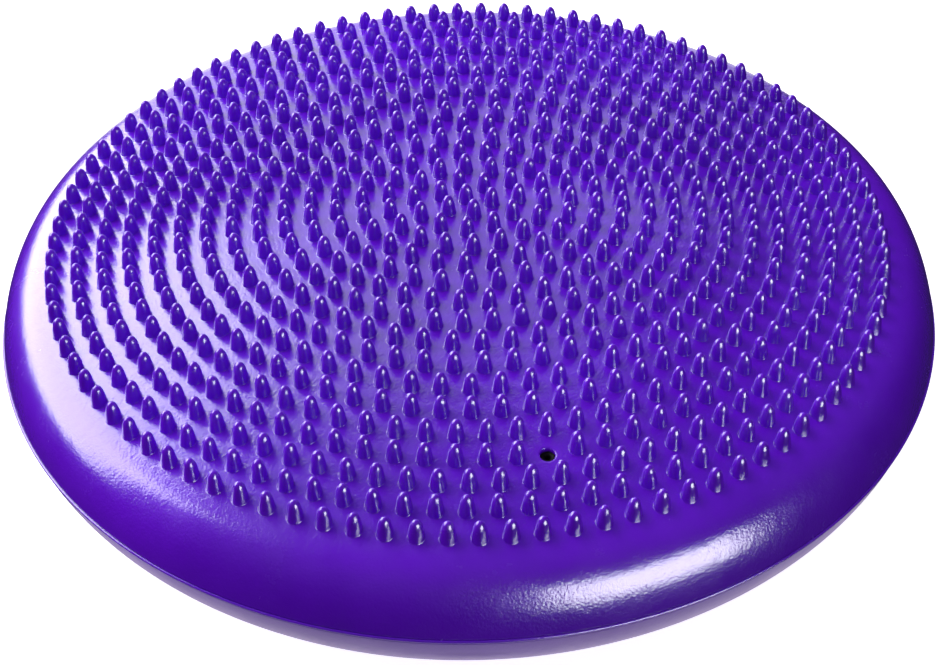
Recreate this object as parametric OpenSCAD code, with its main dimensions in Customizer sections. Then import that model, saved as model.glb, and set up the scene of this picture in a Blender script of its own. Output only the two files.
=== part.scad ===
/* [Disc] */
// Diameter at the seam, the widest part of the disc
disc_d = 330; // [325:1:340]
// Height of the seam above the floor
seam_h = 35; // [33:0.5:37]
// Height of the skin at the outermost ring of spikes
rim_h = 58.3; // [57:0.1:60]
// How much higher the skin stands at the centre than at the outermost ring
dome_rise = 16.3; // [10:0.1:18]
// Thickness of the moulded skin
skin_t = 3; // [2.4:0.1:3.4]

/* [Massage spikes] */
// Number of rings of spikes round the centre spike
ring_count = 16; // [14:1:16]
// Distance from one ring to the next
ring_pitch = 9.04; // [8.9:0.01:9.1]
// How many more spikes each ring has than the one inside it
ring_growth = 6; // [5:1:6]
// Diameter of a spike at its foot
spike_d = 5.3; // [4.8:0.1:5.6]
// Height of a spike
spike_h = 7.2; // [6:0.1:8]
// Direction of the first spike of the innermost ring, in degrees
first_spike = 46; // [0:0.25:60]
// How far each ring is turned from the one inside it, in degrees
ring_turn = 14.24; // [0:0.02:20]

/* [Underside nubs] */
// Number of rings of nubs
nub_rings = 7; // [2:1:7]
// Distance from one ring of nubs to the next
nub_pitch = 17; // [15:0.5:17]
// Diameter of a nub at its foot
nub_d = 9; // [7:0.5:10]
// Height of a nub
nub_h = 1.8; // [1.2:0.1:2.2]

/* [Valve] */
// Which ring of spikes the valve stands in
valve_ring = 13; // [8:1:13]
// Which spike of that ring the valve takes the place of
valve_place = 14; // [1:1:38]
// Diameter of the valve mouth in the skin
mouth_d = 4.8; // [4:0.1:5.4]
// Diameter of the needle channel
needle_d = 2; // [1.8:0.1:2.4]
// Depth of the needle channel
needle_depth = 14; // [10:1:15]

/* [Hidden] */
$fn = 48;

violet = "#4b14b4";
pale_violet = "#6a45b8";

// Skin
disc_r = disc_d / 2;
outer_ring_r = ring_r(ring_count);
deck_r = outer_ring_r + ring_pitch / 2;
deck_h = skin_h(deck_r);
deck_fall = atan(2 * dome_rise * deck_r / pow(outer_ring_r, 2));
seam_crease = 9;
curve_steps = 14;

// Seam bead
bead_w = 1.1;
bead_proud = 0.3;
bead_h = 1.2;

// Spikes
ledge = spike_d + 0.9;
tip_d = 1.3;
root = 0.6;

// Underside
sole_h = nub_h;
sole_r = 134.5;
sole_rise = 4.2;
nub_ledge = nub_d + 1.2;
nub_flat_d = 4;
button_d = 16;

// Valve, with its depths measured down from the outer face of the skin
valve_a = ring_start(valve_ring) + valve_place * 360 / spikes_in(valve_ring);
valve_r = ring_r(valve_ring);
valve_h = skin_h(valve_r);
valve_gap = 0.05;
neck_top = 1;
flange_top = skin_t + 2.4;
flange_base = flange_top + 2;
lips_top = neck_top + needle_depth;
lips_base = lips_top + 3;
core_d = 8;
flange_d = 11;
seat_d = 17;
seat_foot_d = 24;
seat_foot_base = skin_t + 3;
seat_base = lips_top - 0.5;

// Height of the outer face of the top skin at radius r
function skin_h(r) = rim_h + dome_rise * (1 - pow(r / outer_ring_r, 2));

// Height of the outer face of the underside at radius r
function sole_z(r) = sole_h + sole_rise * pow(r / sole_r, 2);

// Radius of ring k, how many spikes it has, and the direction of its first spike
function ring_r(k) = k * ring_pitch;
function spikes_in(k) = k * ring_growth;
function ring_start(k) = first_spike + (k - 1) * ring_turn;

// Cubic curve from a to d, with handles at b and c
function curve(a, b, c, d) = [
    for (i = [0 : curve_steps])
        let (t = i / curve_steps, s = 1 - t)
            s * s * s * a + 3 * s * s * t * b + 3 * s * t * t * c + t * t * t * d
];

function reversed(list) = [for (i = [len(list) - 1 : -1 : 0]) list[i]];

// The spiked deck from the centre out, moved in by t: a flat ledge under each ring of spikes
function deck(t) = concat(
    [[0, skin_h(0) - t], [ledge / 2, skin_h(0) - t]],
    [
        for (k = [1 : ring_count], side = [-1, 1])
            [ring_r(k) + side * ledge / 2, skin_h(ring_r(k)) - t]
    ]
);

// Upper shoulder, from the edge of the deck down to the seam, moved in by t
function shoulder(t) =
    let (reach = 0.58 * (disc_r - deck_r), climb = 0.55 * (deck_h - seam_h))
        curve(
            [deck_r, deck_h - t],
            [deck_r + reach - 0.3 * t, deck_h - t - reach * tan(deck_fall)],
            [disc_r - t - climb * sin(seam_crease), seam_h + climb - 0.4 * t],
            [disc_r - t, seam_h]
        );

// Lower shoulder, from the seam down to the edge of the sole, moved in by t
function haunch(t) =
    let (rim_z = sole_z(sole_r), reach = 0.52 * (disc_r - sole_r), drop = 0.55 * (seam_h - rim_z))
        curve(
            [disc_r - t, seam_h],
            [disc_r - t - drop * sin(seam_crease), seam_h - drop + 0.5 * t],
            [sole_r + reach - 0.5 * t, rim_z + t + 0.6],
            [sole_r, rim_z + t]
        );

// The sole from the centre out, moved in by t: a flat ledge over each ring of nubs
function sole(t) = concat(
    [[0, sole_h + t], [button_d / 2 + 0.5, sole_h + t]],
    [
        for (k = [1 : nub_rings], side = [-1, 1])
            [k * nub_pitch + side * nub_ledge / 2, sole_z(k * nub_pitch) + t]
    ]
);

// Moves its children to the valve, with z = 0 on the outer face and +Z into the disc
module at_valve() {
    rotate([0, 0, valve_a])
        translate([valve_r, 0, valve_h])
            rotate([180, 0, 0])
                children();
}

// A cylinder of diameter d from depth a to depth b
module bored(d, a, b) {
    translate([0, 0, a])
        cylinder(h = b - a, d = d);
}

// One moulded spike, standing on z = 0 with its root sunk in the skin
module spike() {
    rotate_extrude()
        polygon([
            [0, -root],
            [spike_d / 2, -root],
            [spike_d / 2, 0],
            [spike_d * 0.455, spike_h * 0.48],
            [spike_d * 0.33, spike_h * 0.82],
            [tip_d / 2, spike_h],
            [0, spike_h]
        ]);
}

// One low nub with a flat crest, hanging below z = 0
module nub(d, flat_d) {
    rotate_extrude()
        polygon([
            [0, root],
            [d / 2, root],
            [d / 2, 0],
            [(d + flat_d) / 4 + 0.6, -nub_h * 0.65],
            [flat_d / 2, -nub_h],
            [0, -nub_h]
        ]);
}

// The groove round the seam that holds the bead
module bead_groove() {
    translate([disc_r + bead_proud - bead_w, seam_h - bead_h / 2])
        square([bead_w + 1, bead_h]);
}

// Upper skin as a turned shell, before its spikes
module upper_shell() {
    rotate_extrude()
        difference() {
            polygon(concat(
                deck(0),
                shoulder(0),
                reversed(shoulder(skin_t)),
                reversed(deck(skin_t))
            ));
            bead_groove();
        }
}

module upper_skin() {
    color(violet)
        difference() {
            union() {
                upper_shell();
                translate([0, 0, skin_h(0)])
                    spike();
                for (k = [1 : ring_count], i = [0 : spikes_in(k) - 1])
                    if (k != valve_ring || i != valve_place)
                        rotate([0, 0, ring_start(k) + i * 360 / spikes_in(k)])
                            translate([ring_r(k), 0, skin_h(ring_r(k))])
                                spike();
            }
            at_valve()
                bored(mouth_d, -1, skin_t + 1);
        }
}

module lower_skin() {
    color(pale_violet)
        union() {
            rotate_extrude()
                difference() {
                    polygon(concat(
                        sole(0),
                        reversed(haunch(0)),
                        haunch(skin_t),
                        reversed(sole(skin_t))
                    ));
                    bead_groove();
                }
            for (k = [1 : nub_rings], i = [0 : 6 * k - 1])
                rotate([0, 0, i * 60 / k])
                    translate([k * nub_pitch, 0, sole_z(k * nub_pitch)])
                        nub(nub_d, nub_flat_d);
            translate([0, 0, sole_h])
                nub(button_d, button_d - 3);
        }
}

// Thin raised line round the disc where the two skins meet
module seam_bead() {
    color(violet)
        rotate_extrude()
            translate([disc_r + bead_proud - bead_w, seam_h - bead_h / 2])
                square([bead_w, bead_h]);
}

// Thick boss that grips the valve core, cut off where it meets the inner face of the skin
module valve_seat() {
    color(violet)
        difference() {
            at_valve()
                difference() {
                    union() {
                        bored(seat_foot_d, skin_t - 2, seat_foot_base);
                        bored(seat_d, skin_t - 2, seat_base);
                    }
                    bored(mouth_d, -1, flange_top + 1);
                    bored(flange_d, flange_top, flange_base);
                    bored(core_d, flange_base - 1, seat_base + 1);
                }
            rotate_extrude()
                polygon(concat(deck(skin_t), [[deck_r, skin_h(0)], [0, skin_h(0)]]));
        }
}

// Soft plug with a blind needle channel that closes again below the needle
module valve_core() {
    color("#141414")
        at_valve()
            difference() {
                union() {
                    bored(mouth_d - 2 * valve_gap, neck_top, flange_top + 1);
                    bored(flange_d - 2 * valve_gap, flange_top + valve_gap, flange_base - valve_gap);
                    bored(core_d - 2 * valve_gap, flange_base - 1, lips_top);
                    translate([0, 0, lips_top])
                        cylinder(h = lips_base - lips_top, d1 = core_d - 2 * valve_gap, d2 = 3);
                }
                bored(needle_d, neck_top - 1, lips_top);
            }
}

upper_skin();
lower_skin();
seam_bead();
valve_seat();
valve_core();
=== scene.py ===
import math

import bmesh
import bpy
from mathutils import Matrix, Vector


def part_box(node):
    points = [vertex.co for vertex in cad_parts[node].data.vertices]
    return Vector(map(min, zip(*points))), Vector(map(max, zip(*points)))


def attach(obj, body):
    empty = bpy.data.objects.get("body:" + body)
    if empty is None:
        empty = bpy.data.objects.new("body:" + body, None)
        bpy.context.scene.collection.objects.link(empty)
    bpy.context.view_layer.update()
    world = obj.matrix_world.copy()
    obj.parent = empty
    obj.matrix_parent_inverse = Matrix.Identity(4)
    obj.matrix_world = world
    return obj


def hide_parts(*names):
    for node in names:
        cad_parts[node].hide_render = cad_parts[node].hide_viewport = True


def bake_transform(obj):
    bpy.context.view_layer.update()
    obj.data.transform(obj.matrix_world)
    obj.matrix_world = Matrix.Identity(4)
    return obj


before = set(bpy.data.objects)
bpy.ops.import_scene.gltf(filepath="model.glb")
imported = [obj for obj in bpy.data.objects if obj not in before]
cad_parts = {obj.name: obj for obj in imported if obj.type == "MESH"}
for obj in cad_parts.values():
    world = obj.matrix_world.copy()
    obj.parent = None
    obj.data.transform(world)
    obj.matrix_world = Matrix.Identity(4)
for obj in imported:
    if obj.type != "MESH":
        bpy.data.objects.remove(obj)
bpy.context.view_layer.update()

MM = 0.001

# ---------------------------------------------------------------- the disc, in millimetres
BEAD_LOW, BEAD_HIGH = (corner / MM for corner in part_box("seam_bead"))
SEAM_Z = (BEAD_LOW.z + BEAD_HIGH.z) / 2
DISC_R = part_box("lower_skin")[1].x / MM
SKIN_T = 3.0
SPIKE_H = 7.2
RING_PITCH = 9.04
RING_COUNT = 16
RING_GROWTH = 6
FIRST_SPIKE = 46.0
RING_TURN = 14.24
OUTER_RING_R = RING_COUNT * RING_PITCH
DOME_RISE = 16.3
RIM_Z = 58.3
EDGE_R = OUTER_RING_R + RING_PITCH / 2
CELL_GAP = 3.4  # from a ring of spikes to the edges of its cells
SEAM_CREASE = math.radians(9)
BEAD_W = 1.1
BEAD_ROUND = 0.6
BEAD_STEPS = 8  # mesh steps over the rounded face of the bead
RIM_STEPS = 384  # points round the seam
OUTSIDE_STEPS, INSIDE_STEPS = 30, 16  # mesh steps over the side of a skin

SOLE_Z = 1.8
SOLE_R = 134.5
SOLE_RISE = 4.2
NUB_PITCH = 17.0
NUB_RINGS = 7
NUB_GROWTH = 6
NUB_GAP = 5.6  # the same for a ring of nubs
NUB_H = 1.8

# Each point of a profile is a radius and a height over the skin
SPIKE_PROFILE = [
    (3.15, 0.0), (2.86, 0.0), (2.74, 0.06), (2.7, 0.25), (2.67, 0.7), (2.6, 1.4), (2.47, 2.4),
    (2.28, 3.5), (2.05, 4.6), (1.82, 5.4), (1.5, 6.1), (1.15, 6.6), (0.75, 6.95), (0.35, 7.13),
]
MOUTH_PROFILE = [
    (3.2, 0.0), (2.8, -0.04), (2.55, -0.18), (2.42, -0.45), (2.4, -0.9), (2.4, -SKIN_T),
]
NUB_PROFILE = [(5.1, 0.0), (4.6, 0.12), (4.1, 0.5), (3.5, 1.05), (2.8, 1.5), (1.9, 1.74)]
BUTTON_PROFILE = [(9.4, 0.0), (8.6, 0.12), (8.0, 0.55), (7.5, 1.2), (6.8, 1.65), (5.6, 1.8)]


def deck_z(r):
    """Height of the outer face of the spiked deck at radius r."""
    return RIM_Z + DOME_RISE * (1 - (r / OUTER_RING_R) ** 2)


def sole_z(r):
    """Height of the outer face of the underside at radius r."""
    return SOLE_Z + SOLE_RISE * (r / SOLE_R) ** 2


def ring_r(k):
    return k * RING_PITCH


def spikes_in(k):
    return k * RING_GROWTH


def ring_start(k):
    """Direction of the first spike of ring k."""
    return math.radians(FIRST_SPIKE + RING_TURN * (k - 1))


def even_turns(count, start=0.0):
    """The directions of count places spread evenly round a circle."""
    return [start + 2 * math.pi * i / count for i in range(count)]


def curve(a, b, c, d, steps):
    """Points of a cubic curve from a to d with handles at b and c, leaving out a itself."""
    a, b, c, d = (Vector(p) for p in (a, b, c, d))
    made = []
    for i in range(1, steps + 1):
        t = i / steps
        s = 1 - t
        made.append(s ** 3 * a + 3 * s * s * t * b + 3 * s * t * t * c + t ** 3 * d)
    return made


# ---------------------------------------------------------------- mesh building
class Shell:
    """Points and faces of one mesh while it is being built."""

    def __init__(self):
        self.points = []
        self.faces = []

    def add(self, point):
        self.points.append(point)
        return len(self.points) - 1

    def loop(self, points):
        return [self.add(p) for p in points]

    def circle(self, r, z, angles):
        return self.loop(Vector((r * math.cos(a), r * math.sin(a), z)) for a in angles)

    def join(self, a, b):
        """Fills between two rings with the same number of points."""
        n = len(a)
        for i in range(n):
            j = (i + 1) % n
            self.faces.append((a[i], a[j], b[j], b[i]))

    def fan(self, loop, tip):
        """Fills a ring from its points to one more point."""
        n = len(loop)
        for i in range(n):
            self.faces.append((loop[i], loop[(i + 1) % n], tip))

    def zip(self, a, turn_a, b, turn_b):
        """Fills between two rings whose points don't match, keeping neighbours closest in angle."""
        n, m = len(a), len(b)
        step_a, step_b = 2 * math.pi / n, 2 * math.pi / m
        skip = round((turn_a - turn_b) / step_b)
        i, j = 0, 0
        while i < n or j < m:
            next_a = turn_a + (i + 1) * step_a
            next_b = turn_b + (skip + j + 1) * step_b
            start = (a[i % n], b[(skip + j) % m])
            if j >= m or (i < n and next_a <= next_b):
                self.faces.append((start[0], a[(i + 1) % n], start[1]))
                i += 1
            else:
                self.faces.append((start[0], b[(skip + j + 1) % m], start[1]))
                j += 1

    def build(self, name):
        """Makes the object in metres, with its faces turned outwards."""
        mesh = bpy.data.meshes.new(name)
        mesh.from_pydata([tuple(p * MM) for p in self.points], [], self.faces)
        work = bmesh.new()
        work.from_mesh(mesh)
        bmesh.ops.recalc_face_normals(work, faces=work.faces)
        for face in work.faces:
            face.smooth = True
        work.to_mesh(mesh)
        work.free()
        made = bpy.data.objects.new(name, mesh)
        bpy.context.scene.collection.objects.link(made)
        return made


CELL_STEPS = 4  # mesh steps along each side of a cell
CELL_CORNER = math.radians(225)  # direction of a cell's first corner from its middle


class Surface:
    """A shallow dome of height z(r), with up = 1 when its outer face looks up and -1 when down."""

    def __init__(self, z, up, drop=0.0):
        self.rise, self.up, self.drop = z, up, drop

    def z(self, r):
        return self.rise(r) - self.up * self.drop

    def at(self, r, a):
        return Vector((r * math.cos(a), r * math.sin(a), self.z(r)))

    def spot(self, r, a, rho, t, h, top):
        """Height h over a place: level at the top of a stud, and with the dome's slope at h = 0."""
        radial, across = Vector((math.cos(a), math.sin(a))), Vector((-math.sin(a), math.cos(a)))
        flat = r * radial + rho * (math.cos(t) * across + math.sin(t) * radial)
        lean = (self.z(flat.length) - self.z(r)) * (1 - h / top)
        return Vector((*flat, self.z(r) + self.up * h + lean))


def raise_stud(shell, loop, surface, r, a, profile, top):
    """An upright turned stud standing on the surface inside a cell, closed at its top."""
    turns = even_turns(len(loop), CELL_CORNER)
    below = loop
    for rho, h in profile:
        ring = shell.loop(surface.spot(r, a, rho, t, h, top) for t in turns)
        shell.join(below, ring)
        below = ring
    shell.fan(below, shell.add(surface.at(r, a) + Vector((0, 0, surface.up * top))))


def centre_stud(shell, loop, turn, surface, profile, top):
    """The same in the middle of the surface, inside its innermost ring of points."""
    angles = even_turns(len(loop), turn)
    below = loop
    for rho, h in profile:
        ring = shell.circle(rho, surface.z(0) + surface.up * h, angles)
        shell.join(below, ring)
        below = ring
    shell.fan(below, shell.add(Vector((0, 0, surface.z(0) + surface.up * top))))


def sink_mouth(shell, loop, surface, r, a, profile):
    """A round opening in a cell, cut square to the floor with its rims on the dome's slope."""
    turns = even_turns(len(loop), CELL_CORNER)
    below = loop
    for rho, h in profile:
        ring = shell.loop(surface.spot(r, a, rho, t, 0, 1) + Vector((0, 0, h)) for t in turns)
        shell.join(below, ring)
        below = ring
    return below


def band(shell, surface, r, count, start, gap, fill):
    """A ring of square cells, each filled by fill(loop, i, angle). Returns its edge rings."""
    step = 2 * math.pi / count
    angles = [start - step / 2 + step * j / CELL_STEPS for j in range(CELL_STEPS * count)]
    inner = shell.loop(surface.at(r - gap, a) for a in angles)
    outer = shell.loop(surface.at(r + gap, a) for a in angles)
    rungs = []
    for i in range(count):
        a = start + (i - 0.5) * step
        radii = [r - gap + 2 * gap * m / CELL_STEPS for m in range(1, CELL_STEPS)]
        rungs.append(shell.loop(surface.at(q, a) for q in radii))
    for i in range(count):
        low = [inner[(CELL_STEPS * i + j) % len(inner)] for j in range(CELL_STEPS + 1)]
        high = [outer[(CELL_STEPS * i + j) % len(outer)] for j in range(CELL_STEPS + 1)]
        right, left = rungs[(i + 1) % count], rungs[i]
        fill(low + right + high[::-1] + left[::-1], i, start + i * step)
    return (inner, angles[0]), (outer, angles[0])


def revolve(shell, profile, angles, closed=False):
    """Turned faces through the profile's (r, z) points. Returns the first and last rings."""
    rings = [shell.circle(r, z, angles) for r, z in profile]
    pairs = list(zip(rings, rings[1:])) + ([(rings[-1], rings[0])] if closed else [])
    for a, b in pairs:
        shell.join(a, b)
    return rings[0], rings[-1]


# ---------------------------------------------------------------- the two skins
core_low, core_high = (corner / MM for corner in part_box("valve_core"))
VALVE = (core_low + core_high) / 2
VALVE_R = math.hypot(VALVE.x, VALVE.y)
VALVE_RING = round(VALVE_R / RING_PITCH)
VALVE_TURN = math.atan2(VALVE.y, VALVE.x)


def is_valve(k, angle):
    """Whether the valve takes the place of the spike in this direction of ring k."""
    apart = math.remainder(angle - VALVE_TURN, 2 * math.pi)
    return k == VALVE_RING and abs(apart) < math.pi / spikes_in(k)


def spiked_deck(shell, surface, mouth=None):
    """The deck out to its edge, with plain cells on its inner face. Returns the edge and mouth."""
    found = {}
    outer_face = mouth is None
    before = None
    for k in range(1, RING_COUNT + 1):
        r = ring_r(k)

        def fill(loop, i, a, k=k, r=r):
            if is_valve(k, a):
                if outer_face:
                    found["mouth"] = sink_mouth(shell, loop, surface, r, a, MOUTH_PROFILE)
                else:
                    shell.join(loop, mouth)
            elif outer_face:
                raise_stud(shell, loop, surface, r, a, SPIKE_PROFILE, SPIKE_H)
            else:
                shell.fan(loop, shell.add(surface.at(r, a)))

        inner, outer = band(shell, surface, r, spikes_in(k), ring_start(k), CELL_GAP, fill)
        if before:
            shell.zip(*before, *inner)
        elif outer_face:
            centre_stud(shell, *inner, surface, SPIKE_PROFILE, SPIKE_H)
        else:
            shell.fan(inner[0], shell.add(surface.at(0, 0)))
        before = outer
    points, turn = before
    edge = shell.loop(surface.at(EDGE_R, a) for a in even_turns(len(points), turn))
    shell.join(points, edge)
    return (edge, turn), found.get("mouth")


def shoulder(t, steps):
    """Points from the edge of the deck down to the seam, moved in by t."""
    reach = 0.58 * (DISC_R - EDGE_R)
    edge_z = deck_z(EDGE_R)
    climb = 0.55 * (edge_z - SEAM_Z)
    fall = 2 * DOME_RISE * EDGE_R / OUTER_RING_R ** 2
    return curve(
        (EDGE_R, edge_z - t),
        (EDGE_R + reach - 0.3 * t, edge_z - t - reach * fall),
        (DISC_R - t - climb * math.sin(SEAM_CREASE), SEAM_Z + climb - 0.4 * t),
        (DISC_R - t, SEAM_Z),
        steps,
    )


def haunch(t, steps):
    """Points from the edge of the underside up to the seam, moved in by t."""
    edge_z = sole_z(SOLE_R)
    reach = 0.52 * (DISC_R - SOLE_R)
    drop = 0.55 * (SEAM_Z - edge_z)
    return curve(
        (SOLE_R, edge_z + t),
        (SOLE_R + reach - 0.5 * t, edge_z + t + 0.6),
        (DISC_R - t - drop * math.sin(SEAM_CREASE), SEAM_Z - drop + 0.5 * t),
        (DISC_R - t, SEAM_Z),
        steps,
    )


def skin_edge(outer, inner, groove_z):
    """The two faces of a skin where it meets the other skin, with half the bead's groove."""
    clear = [p for p in outer if abs(p.y - SEAM_Z) > abs(groove_z - SEAM_Z)]
    last = clear[-1]
    lip_r = last.x + (DISC_R - last.x) * abs(groove_z - last.y) / abs(SEAM_Z - last.y)
    groove_r = BEAD_HIGH.x - BEAD_W
    down = [(p.x, p.y) for p in clear] + [(lip_r, groove_z), (groove_r, groove_z)]
    return down + [(groove_r, SEAM_Z)] + [(p.x, p.y) for p in reversed(inner)]


def make_upper_skin():
    shell = Shell()
    edge, mouth = spiked_deck(shell, Surface(deck_z, 1))
    inner_edge, _ = spiked_deck(shell, Surface(deck_z, 1, SKIN_T), mouth)
    angles = even_turns(len(edge[0]), edge[1])
    side = skin_edge(shoulder(0, OUTSIDE_STEPS), shoulder(SKIN_T, INSIDE_STEPS), BEAD_HIGH.z)
    first, last = revolve(shell, side, angles)
    shell.join(edge[0], first)
    shell.join(last, inner_edge[0])
    return shell.build("top_skin")


def make_lower_skin():
    shell = Shell()
    outside, inside = Surface(sole_z, -1), Surface(sole_z, -1, SKIN_T)
    angles = even_turns(RIM_STEPS)
    edges = []
    for surface in (outside, inside):
        before = None
        for k in range(1, NUB_RINGS + 1):
            r = k * NUB_PITCH

            def fill(loop, i, a, r=r, surface=surface):
                if surface is outside:
                    raise_stud(shell, loop, surface, r, a, NUB_PROFILE, NUB_H)
                else:
                    shell.fan(loop, shell.add(surface.at(r, a)))

            inner, outer = band(shell, surface, r, k * NUB_GROWTH, 0.0, NUB_GAP, fill)
            if before:
                shell.zip(*before, *inner)
            elif surface is outside:
                centre_stud(shell, *inner, surface, BUTTON_PROFILE, NUB_H)
            else:
                shell.fan(inner[0], shell.add(surface.at(0, 0)))
            before = outer
        sole_edge = shell.loop(surface.at(SOLE_R, a) for a in angles)
        shell.zip(*before, sole_edge, angles[0])
        edges.append(sole_edge)
    side = skin_edge(haunch(0, OUTSIDE_STEPS), haunch(SKIN_T, INSIDE_STEPS), BEAD_LOW.z)
    first, last = revolve(shell, side, angles)
    shell.join(edges[0], first)
    shell.join(last, edges[1])
    return shell.build("under_skin")


def make_bead():
    shell = Shell()
    r_out, r_in = BEAD_HIGH.x, BEAD_HIGH.x - BEAD_W
    half = (BEAD_HIGH.z - BEAD_LOW.z) / 2
    section = [(r_in, -half), (r_in, half)]
    for i in range(BEAD_STEPS + 1):
        t = math.radians(90 - 180 * i / BEAD_STEPS)
        section.append((r_out - BEAD_ROUND + BEAD_ROUND * math.cos(t), half * math.sin(t)))
    angles = even_turns(RIM_STEPS)
    profile = [(r, SEAM_Z + z) for r, z in section]
    revolve(shell, profile, angles, closed=True)
    return shell.build("seam_line")


# ---------------------------------------------------------------- the valve
VALVE_STEPS = 40  # points round each turned valve part


def turned_at_valve(name, profile, hugging=()):
    """A solid turned about the valve's axis, from (radius, depth) points under the skin's face.

    Points whose number is in hugging follow the slope of the skin."""
    surface = Surface(deck_z, 1)
    shell = Shell()
    turns = even_turns(VALVE_STEPS)
    rings = []
    for number, (rho, depth) in enumerate(profile):
        ring = [surface.spot(VALVE_R, VALVE_TURN, rho, t, 0, 1) for t in turns]
        for spot in ring:
            spot.z = (spot.z if number in hugging else surface.z(VALVE_R)) - depth
        rings.append(shell.add(ring[0]) if rho == 0 else shell.loop(ring))
    for a, b in zip(rings, rings[1:]):
        if isinstance(a, int):
            shell.fan(b, a)
        elif isinstance(b, int):
            shell.fan(a, b)
        else:
            shell.join(a, b)
    if not isinstance(rings[0], int):
        shell.join(rings[-1], rings[0])
    return shell.build(name)


def make_core():
    profile = [
        (0, 15.0), (0.85, 14.9), (1.0, 14.6), (1.0, 1.75), (1.1, 1.45), (1.4, 1.2), (1.9, 1.05),
        (2.2, 1.0), (2.33, 1.12), (2.35, 1.4), (2.35, 5.45), (5.2, 5.45), (5.42, 5.6), (5.45, 5.85),
        (5.45, 6.95), (5.42, 7.2), (5.2, 7.35), (4.2, 7.4), (3.95, 7.65), (3.95, 14.8),
        (3.8, 15.2), (1.7, 17.8), (1.3, 18.0), (0, 18.0),
    ]
    return turned_at_valve("valve_plug", profile)


def make_seat():
    profile = [
        (2.45, 3.05), (12.0, 3.05), (12.0, 5.75), (11.6, 6.0), (9.0, 6.3), (8.55, 7.1), (8.5, 14.1),
        (8.1, 14.5), (4.3, 14.5), (4.02, 14.2), (4.02, 7.7), (4.1, 7.5), (5.55, 7.45), (5.55, 5.5),
        (5.5, 5.4), (2.45, 5.4),
    ]
    return turned_at_valve("valve_boss", profile, hugging=(0, 1))


# ---------------------------------------------------------------- materials
def nodes_of(owner):
    """The empty node tree of a material or a world, with its nodes and links."""
    owner.use_nodes = True
    tree = owner.node_tree
    tree.nodes.clear()
    return tree, tree.nodes, tree.links


def noise(tree, scale, detail, rough):
    made = tree.nodes.new("ShaderNodeTexNoise")
    made.inputs["Scale"].default_value = scale
    made.inputs["Detail"].default_value = detail
    made.inputs["Roughness"].default_value = rough
    return made


def ramp(tree, source, stops):
    made = tree.nodes.new("ShaderNodeValToRGB")
    elements = made.color_ramp.elements
    while len(elements) < len(stops):
        elements.new(0.5)
    for element, (at, colour) in zip(elements, stops):
        element.position = at
        element.color = (*colour, 1)
    tree.links.new(source, made.inputs["Fac"])
    return made


def bump(tree, height, strength, distance, below=None):
    """Dents a surface by a grey value, on top of the bump below if one is given."""
    made = tree.nodes.new("ShaderNodeBump")
    made.inputs["Strength"].default_value = strength
    made.inputs["Distance"].default_value = distance
    tree.links.new(height, made.inputs["Height"])
    if below:
        tree.links.new(below.outputs["Normal"], made.inputs["Normal"])
    return made


def choice(tree, yes, if_no, if_yes):
    """One shader where a value is 0 and another where it is 1."""
    made = tree.nodes.new("ShaderNodeMixShader")
    tree.links.new(yes, made.inputs["Fac"])
    tree.links.new(if_no, made.inputs[1])
    tree.links.new(if_yes, made.inputs[2])
    return made.outputs["Shader"]


def grey(v):
    return (v, v, v)


def moulded_plastic(name, deep, pale, rough, grain, coat):
    """Glossy moulded plastic: a fine pebbled grain, faint flow clouding and small scuffs."""
    material = bpy.data.materials.new(name)
    tree, nodes, links = nodes_of(material)
    out = nodes.new("ShaderNodeOutputMaterial")
    body = nodes.new("ShaderNodeBsdfPrincipled")
    place = nodes.new("ShaderNodeTexCoord")
    clouds = noise(tree, scale=14.0, detail=4.0, rough=0.55)
    fine = noise(tree, scale=1300.0, detail=2.0, rough=0.5)
    peel = noise(tree, scale=330.0, detail=1.5, rough=0.45)
    scuffs = noise(tree, scale=60.0, detail=6.0, rough=0.7)
    for t in (clouds, fine, peel, scuffs):
        links.new(place.outputs["Object"], t.inputs["Vector"])
    tint = ramp(tree, clouds.outputs["Fac"], [(0.35, deep), (0.68, pale)])
    links.new(tint.outputs["Color"], body.inputs["Base Color"])
    wear = ramp(tree, scuffs.outputs["Fac"], [(0.35, grey(rough - 0.03)), (0.75, grey(rough + 0.06))])
    links.new(wear.outputs["Color"], body.inputs["Roughness"])
    low = bump(tree, peel.outputs["Fac"], grain, 0.0002)
    high = bump(tree, fine.outputs["Fac"], grain * 1.8, 0.00012, below=low)
    links.new(high.outputs["Normal"], body.inputs["Normal"])
    links.new(high.outputs["Normal"], body.inputs["Coat Normal"])
    body.inputs["Coat Weight"].default_value = coat
    body.inputs["Coat Roughness"].default_value = rough * 0.5
    body.inputs["IOR"].default_value = 1.53
    links.new(body.outputs["BSDF"], out.inputs["Surface"])
    return material


def soft_rubber(name):
    """Dull near-black rubber with a dusty grain."""
    material = bpy.data.materials.new(name)
    tree, nodes, links = nodes_of(material)
    out = nodes.new("ShaderNodeOutputMaterial")
    body = nodes.new("ShaderNodeBsdfPrincipled")
    place = nodes.new("ShaderNodeTexCoord")
    dust = noise(tree, scale=700.0, detail=5.0, rough=0.6)
    links.new(place.outputs["Object"], dust.inputs["Vector"])
    tint = ramp(tree, dust.outputs["Fac"], [(0.3, grey(0.002)), (0.8, grey(0.007))])
    matt = ramp(tree, dust.outputs["Fac"], [(0.3, grey(0.5)), (0.8, grey(0.75))])
    dents = bump(tree, dust.outputs["Fac"], 0.3, 0.0001)
    links.new(tint.outputs["Color"], body.inputs["Base Color"])
    links.new(matt.outputs["Color"], body.inputs["Roughness"])
    links.new(dents.outputs["Normal"], body.inputs["Normal"])
    body.inputs["Specular IOR Level"].default_value = 0.12
    links.new(body.outputs["BSDF"], out.inputs["Surface"])
    return material


VIOLET_DEEP = (0.100, 0.002, 0.50)
VIOLET_PALE = (0.130, 0.004, 0.62)
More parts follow.
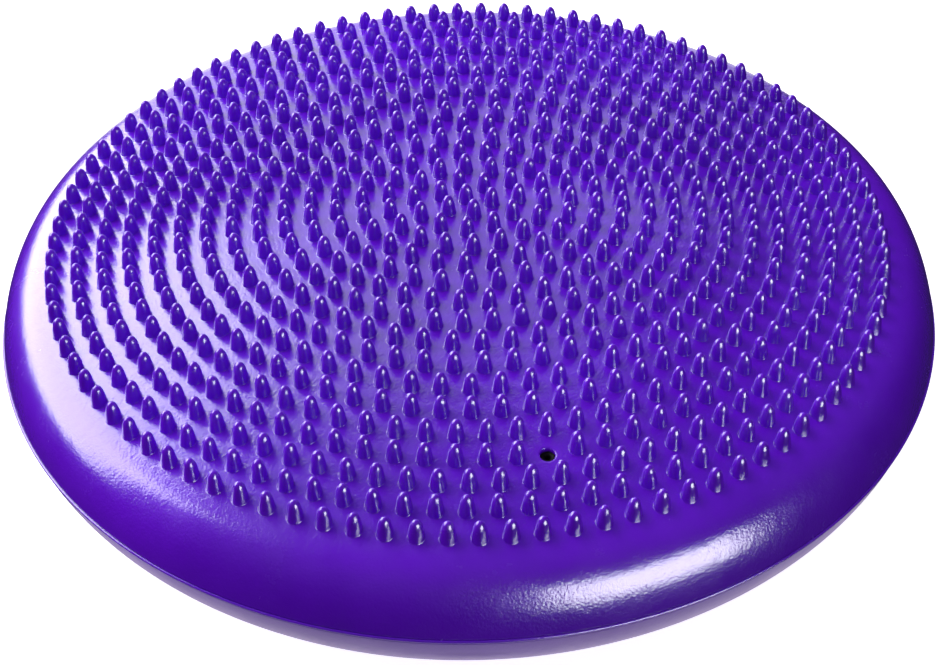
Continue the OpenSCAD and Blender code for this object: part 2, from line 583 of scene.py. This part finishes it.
# The lower skin's colours are paler and greyer than the deck's. This is painted floor reflection,
# standing in for the white floor's light on the underside.
LOWER_DEEP_PAINTED_REFLECTION = (0.15, 0.03, 0.52)
LOWER_PALE_PAINTED_REFLECTION = (0.21, 0.06, 0.65)

violet = moulded_plastic("violet_pvc", VIOLET_DEEP, VIOLET_PALE, rough=0.24, grain=0.4, coat=1.0)
# The lower skin: its rougher, thinly coated satin is its own finish, and its paler colour is painted
# floor reflection.
satin_violet_painted_reflection = moulded_plastic(
    "pale_violet_pvc", LOWER_DEEP_PAINTED_REFLECTION, LOWER_PALE_PAINTED_REFLECTION, rough=0.36, grain=0.2, coat=0.3
)
rubber = soft_rubber("black_rubber")


def finish_piece(piece, material, node):
    """Gives a piece its material and hides the CAD node whose place it takes."""
    piece.data.materials.append(material)
    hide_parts(node)
    return piece


top_skin = finish_piece(make_upper_skin(), violet, "upper_skin")
under_skin = finish_piece(make_lower_skin(), satin_violet_painted_reflection, "lower_skin")
seam_line = finish_piece(make_bead(), violet, "seam_bead")
valve_plug = finish_piece(make_core(), rubber, "valve_core")
valve_boss = finish_piece(make_seat(), violet, "valve_seat")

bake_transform(top_skin)
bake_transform(under_skin)
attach(seam_line, "seam")
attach(valve_plug, "deck")
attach(valve_boss, "deck")

# ---------------------------------------------------------------- floor, lights and camera
scene = bpy.context.scene
BANK_DISTANCE = 2.2  # metres, from a point a little above the floor
BANK_CENTRE_Z = 0.05
BANK_ACROSS, BANK_UP = 12, 4  # mesh steps
FLOOR_HALF = 6.0

# Each stop of the sky is a height, from the horizon at 0 to straight up at 1, and a colour
SKY = [(0.0, grey(0.03)), (0.4, (0.42, 0.32, 0.47)), (1.0, (0.43, 0.33, 0.52))]
SKY_STRENGTH = 1.5
MIRRORED_DARK = (0.5, 0.35, 1.0)


def emission(name, colour, strength):
    material = bpy.data.materials.new(name)
    tree, nodes, links = nodes_of(material)
    out = nodes.new("ShaderNodeOutputMaterial")
    light = nodes.new("ShaderNodeEmission")
    light.inputs["Color"].default_value = (*colour, 1)
    light.inputs["Strength"].default_value = strength
    links.new(light.outputs["Emission"], out.inputs["Surface"])
    return material


def softbox(name, azimuths, heights, strength, colour=(1, 1, 1), mirrored=True, felt=False):
    """A curved bank of light round the disc, between two directions and two heights in degrees.

    The disc mirrors it if mirrored is set, and is lit by it if felt is set."""
    points, faces = [], []
    for j in range(BANK_UP + 1):
        e = math.radians(heights[0] + (heights[1] - heights[0]) * j / BANK_UP)
        for i in range(BANK_ACROSS + 1):
            a = math.radians(azimuths[0] + (azimuths[1] - azimuths[0]) * i / BANK_ACROSS)
            flat = BANK_DISTANCE * math.cos(e)
            z = BANK_DISTANCE * math.sin(e) + BANK_CENTRE_Z
            points.append((flat * math.cos(a), flat * math.sin(a), z))
    row = BANK_ACROSS + 1
    for j in range(BANK_UP):
        for i in range(BANK_ACROSS):
            k = j * row + i
            faces.append((k, k + 1, k + row + 1, k + row))
    mesh = bpy.data.meshes.new(name)
    mesh.from_pydata(points, [], faces)
    mesh.materials.append(emission(name, colour, strength))
    made = bpy.data.objects.new(name, mesh)
    scene.collection.objects.link(made)
    made.visible_camera = False
    made.visible_shadow = False
    made.visible_glossy = mirrored
    made.visible_diffuse = felt


def pale_floor():
    """Plain and pale, brightened to white for the camera, and see-through from underneath."""
    material = bpy.data.materials.new("pale_floor")
    tree, nodes, links = nodes_of(material)
    out = nodes.new("ShaderNodeOutputMaterial")
    body = nodes.new("ShaderNodeBsdfPrincipled")
    body.inputs["Base Color"].default_value = (*grey(0.9), 1)
    body.inputs["Roughness"].default_value = 0.9
    glow = nodes.new("ShaderNodeEmission")
    glow.inputs["Strength"].default_value = 0.85
    bright = nodes.new("ShaderNodeAddShader")
    links.new(body.outputs["BSDF"], bright.inputs[0])
    links.new(glow.outputs["Emission"], bright.inputs[1])
    path = nodes.new("ShaderNodeLightPath")
    side = nodes.new("ShaderNodeNewGeometry")
    clear = nodes.new("ShaderNodeBsdfTransparent")
    top = choice(tree, path.outputs["Is Camera Ray"], body.outputs["BSDF"], bright.outputs["Shader"])
    both = choice(tree, side.outputs["Backfacing"], top, clear.outputs["BSDF"])
    links.new(both, out.inputs["Surface"])
    return material


def make_floor():
    """A square on the ground that only the camera sees."""
    half = FLOOR_HALF
    mesh = bpy.data.meshes.new("floor")
    corners = [(-half, -half, 0), (half, -half, 0), (half, half, 0), (-half, half, 0)]
    mesh.from_pydata(corners, [], [(0, 1, 2, 3)])
    mesh.materials.append(pale_floor())
    floor = bpy.data.objects.new("floor", mesh)
    scene.collection.objects.link(floor)
    floor.visible_glossy = False
    floor.visible_diffuse = False
    floor.visible_shadow = False


def background(tree, colour, strength):
    made = tree.nodes.new("ShaderNodeBackground")
    made.inputs["Color"].default_value = (*colour, 1)
    made.inputs["Strength"].default_value = strength
    return made


def make_world():
    """White to the camera, nearly dark in reflections, and a soft sky in the light on the disc."""
    world = bpy.data.worlds.new("studio")
    scene.world = world
    tree, nodes, links = nodes_of(world)
    out = nodes.new("ShaderNodeOutputWorld")
    place = nodes.new("ShaderNodeTexCoord")
    split = nodes.new("ShaderNodeSeparateXYZ")
    links.new(place.outputs["Generated"], split.inputs["Vector"])
    sky = ramp(tree, split.outputs["Z"], SKY)
    felt = background(tree, grey(1), SKY_STRENGTH)
    links.new(sky.outputs["Color"], felt.inputs["Color"])
    mirrored = background(tree, MIRRORED_DARK, 0.03)
    seen = background(tree, grey(1), 1.0)
    path = nodes.new("ShaderNodeLightPath")
    unseen = choice(
        tree, path.outputs["Is Glossy Ray"], felt.outputs["Background"], mirrored.outputs["Background"]
    )
    shown = choice(tree, path.outputs["Is Camera Ray"], unseen, seen.outputs["Background"])
    links.new(shown, out.inputs["Surface"])


# The camera looks down from the front at the angle of the picture
CAMERA_RISE = math.radians(40.9)
CAMERA_ROLL = math.radians(-1.06)
CAMERA_DISTANCE = 0.6926
CAMERA_LENS = 76.18
LENS_SHIFT = Vector((-0.00029, 0.0389))


def make_camera():
    centre = Vector((0, 0, (RIM_Z + SPIKE_H) * MM))
    back = Vector((0, -math.cos(CAMERA_RISE), math.sin(CAMERA_RISE)))
    level = Vector((1, 0, 0))
    right = math.cos(CAMERA_ROLL) * level + math.sin(CAMERA_ROLL) * back.cross(level)
    up = back.cross(right)
    place = centre + back * CAMERA_DISTANCE - right * LENS_SHIFT.x - up * LENS_SHIFT.y
    camera = bpy.data.objects.new("camera", bpy.data.cameras.new("camera"))
    scene.collection.objects.link(camera)
    camera.data.sensor_width = 36
    camera.data.lens = CAMERA_LENS
    turn = Matrix((right, up, back)).transposed().to_4x4()
    camera.matrix_world = Matrix.Translation(place) @ turn
    scene.camera = camera


make_floor()
make_world()
softbox("window_bank", (112, 184), (8, 53), 6.2)
softbox("window_light", (112, 184), (8, 61), 4.7, mirrored=False, felt=True)
softbox("back_left_bank", (98, 114), (-48, 61), 1.3)
softbox("back_bank", (70, 98), (-48, 60), 1.0, colour=(0.85, 0.8, 1.0))
softbox("floor_glow", (0, 360), (-86, -48), 1.0, colour=(0.9, 0.8, 1.0), felt=True)
softbox("front_strip", (286, 327), (-6, 22), 10.5)
make_camera()
scene.view_settings.view_transform = "Standard"
